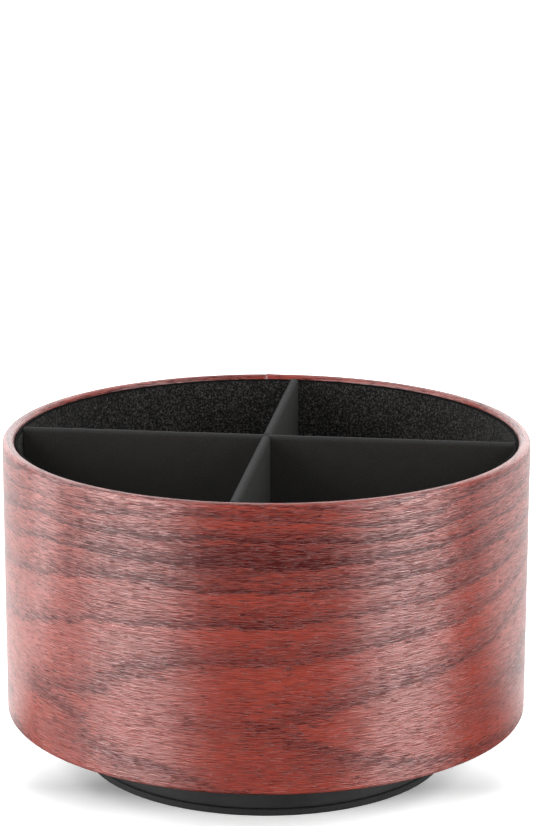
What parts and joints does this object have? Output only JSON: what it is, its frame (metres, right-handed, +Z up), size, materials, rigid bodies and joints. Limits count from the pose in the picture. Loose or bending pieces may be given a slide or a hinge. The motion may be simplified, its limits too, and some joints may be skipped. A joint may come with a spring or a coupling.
{
  "type": "revolving tool caddy",
  "caption": "Round desk caddy in wood-grain leatherette with a black flocked inside, crossed felt dividers and a low black foot that it turns on.",
  "frame": {"origin": "centre of the underside, on the table plane", "axes": "+Z up, along the turning axis. The unslotted-top cross divider runs along X and the long divider along Y at rest."},
  "size_m": [0.16, 0.16, 0.1015],
  "materials": {
    "wood_grain_leatherette": "reddish-brown wood grain, embossed, satin",
    "black_leatherette": "fine grain, satin",
    "flocked_liner": "flocked, matt",
    "divider_felt": "suede-like felt, matt",
    "wall_board": "plain board",
    "divider_board": "plain board",
    "foot_board": "plain fibreboard",
    "pad": "matt foam rubber",
    "bearing_plate": "zinc plated",
    "bearing_ball": "polished",
    "cage": "white nylon",
    "screw": "zinc plated"
  },
  "bodies": {
    "foot": {"anti_slip_pad": "pad", "foot_disc": "foot_board", "foot_wrap": "black_leatherette", "bearing_lower_plate": "bearing_plate", "bearing_eyelet": "bearing_plate", "lower_screw_1": "screw", "lower_screw_2": "screw", "lower_screw_3": "screw", "lower_screw_4": "screw"},
    "ball_ring": {"ball_cage": "cage"},
    "ball_01": {"ball_01": "bearing_ball"},
    "ball_02": {"ball_02": "bearing_ball"},
    "ball_03": {"ball_03": "bearing_ball"},
    "ball_04": {"ball_04": "bearing_ball"},
    "ball_05": {"ball_05": "bearing_ball"},
    "ball_06": {"ball_06": "bearing_ball"},
    "ball_07": {"ball_07": "bearing_ball"},
    "ball_08": {"ball_08": "bearing_ball"},
    "ball_09": {"ball_09": "bearing_ball"},
    "ball_10": {"ball_10": "bearing_ball"},
    "ball_11": {"ball_11": "bearing_ball"},
    "ball_12": {"ball_12": "bearing_ball"},
    "ball_13": {"ball_13": "bearing_ball"},
    "ball_14": {"ball_14": "bearing_ball"},
    "ball_15": {"ball_15": "bearing_ball"},
    "ball_16": {"ball_16": "bearing_ball"},
    "tray": {"bearing_upper_plate": "bearing_plate", "upper_screw_1": "screw", "upper_screw_2": "screw", "upper_screw_3": "screw", "upper_screw_4": "screw", "underside_cover": "black_leatherette", "floor_disc": "wall_board", "wall_tube": "wall_board", "wood_grain_wrap": "wood_grain_leatherette", "wall_liner": "flocked_liner", "floor_felt": "flocked_liner", "cross_divider_board": "divider_board", "cross_divider_felt": "divider_felt", "long_divider_board": "divider_board", "long_divider_felt": "divider_felt"}
  },
  "joints": [
    {"name": "tray_turn", "type": "hinge", "parent": "foot", "child": "tray", "pos_m": [0, 0, 0.0129], "axis": [0, 0, 1], "continuous": true},
    {"name": "ball_ring_turn", "type": "hinge", "parent": "foot", "child": "ball_ring", "pos_m": [0, 0, 0.0129], "axis": [0, 0, 1], "continuous": true},
    {"name": "ball_01_roll", "type": "hinge", "parent": "ball_ring", "child": "ball_01", "pos_m": [0.026, 0, 0.0129], "axis": [1, 0, 0], "continuous": true},
    {"name": "ball_02_roll", "type": "hinge", "parent": "ball_ring", "child": "ball_02", "pos_m": [0.02402, 0.00995, 0.0129], "axis": [0.9239, 0.3827, 0], "continuous": true},
    {"name": "ball_03_roll", "type": "hinge", "parent": "ball_ring", "child": "ball_03", "pos_m": [0.01838, 0.01838, 0.0129], "axis": [0.7071, 0.7071, 0], "continuous": true},
    {"name": "ball_04_roll", "type": "hinge", "parent": "ball_ring", "child": "ball_04", "pos_m": [0.00995, 0.02402, 0.0129], "axis": [0.3827, 0.9239, 0], "continuous": true},
    {"name": "ball_05_roll", "type": "hinge", "parent": "ball_ring", "child": "ball_05", "pos_m": [0, 0.026, 0.0129], "axis": [0, 1, 0], "continuous": true},
    {"name": "ball_06_roll", "type": "hinge", "parent": "ball_ring", "child": "ball_06", "pos_m": [-0.00995, 0.02402, 0.0129], "axis": [-0.3827, 0.9239, 0], "continuous": true},
    {"name": "ball_07_roll", "type": "hinge", "parent": "ball_ring", "child": "ball_07", "pos_m": [-0.01838, 0.01838, 0.0129], "axis": [-0.7071, 0.7071, 0], "continuous": true},
    {"name": "ball_08_roll", "type": "hinge", "parent": "ball_ring", "child": "ball_08", "pos_m": [-0.02402, 0.00995, 0.0129], "axis": [-0.9239, 0.3827, 0], "continuous": true},
    {"name": "ball_09_roll", "type": "hinge", "parent": "ball_ring", "child": "ball_09", "pos_m": [-0.026, 0, 0.0129], "axis": [-1, 0, 0], "continuous": true},
    {"name": "ball_10_roll", "type": "hinge", "parent": "ball_ring", "child": "ball_10", "pos_m": [-0.02402, -0.00995, 0.0129], "axis": [-0.9239, -0.3827, 0], "continuous": true},
    {"name": "ball_11_roll", "type": "hinge", "parent": "ball_ring", "child": "ball_11", "pos_m": [-0.01838, -0.01838, 0.0129], "axis": [-0.7071, -0.7071, 0], "continuous": true},
    {"name": "ball_12_roll", "type": "hinge", "parent": "ball_ring", "child": "ball_12", "pos_m": [-0.00995, -0.02402, 0.0129], "axis": [-0.3827, -0.9239, 0], "continuous": true},
    {"name": "ball_13_roll", "type": "hinge", "parent": "ball_ring", "child": "ball_13", "pos_m": [0, -0.026, 0.0129], "axis": [0, -1, 0], "continuous": true},
    {"name": "ball_14_roll", "type": "hinge", "parent": "ball_ring", "child": "ball_14", "pos_m": [0.00995, -0.02402, 0.0129], "axis": [0.3827, -0.9239, 0], "continuous": true},
    {"name": "ball_15_roll", "type": "hinge", "parent": "ball_ring", "child": "ball_15", "pos_m": [0.01838, -0.01838, 0.0129], "axis": [0.7071, -0.7071, 0], "continuous": true},
    {"name": "ball_16_roll", "type": "hinge", "parent": "ball_ring", "child": "ball_16", "pos_m": [0.02402, -0.00995, 0.0129], "axis": [0.9239, -0.3827, 0], "continuous": true}
  ],
  "couplings": [
    {"joint": "ball_ring_turn", "follows": "tray_turn", "ratio": 0.5},
    {"joint": "ball_01_roll", "follows": "tray_turn", "ratio": -6.5},
    {"joint": "ball_02_roll", "follows": "tray_turn", "ratio": -6.5},
    {"joint": "ball_03_roll", "follows": "tray_turn", "ratio": -6.5},
    {"joint": "ball_04_roll", "follows": "tray_turn", "ratio": -6.5},
    {"joint": "ball_05_roll", "follows": "tray_turn", "ratio": -6.5},
    {"joint": "ball_06_roll", "follows": "tray_turn", "ratio": -6.5},
    {"joint": "ball_07_roll", "follows": "tray_turn", "ratio": -6.5},
    {"joint": "ball_08_roll", "follows": "tray_turn", "ratio": -6.5},
    {"joint": "ball_09_roll", "follows": "tray_turn", "ratio": -6.5},
    {"joint": "ball_10_roll", "follows": "tray_turn", "ratio": -6.5},
    {"joint": "ball_11_roll", "follows": "tray_turn", "ratio": -6.5},
    {"joint": "ball_12_roll", "follows": "tray_turn", "ratio": -6.5},
    {"joint": "ball_13_roll", "follows": "tray_turn", "ratio": -6.5},
    {"joint": "ball_14_roll", "follows": "tray_turn", "ratio": -6.5},
    {"joint": "ball_15_roll", "follows": "tray_turn", "ratio": -6.5},
    {"joint": "ball_16_roll", "follows": "tray_turn", "ratio": -6.5}
  ]
}
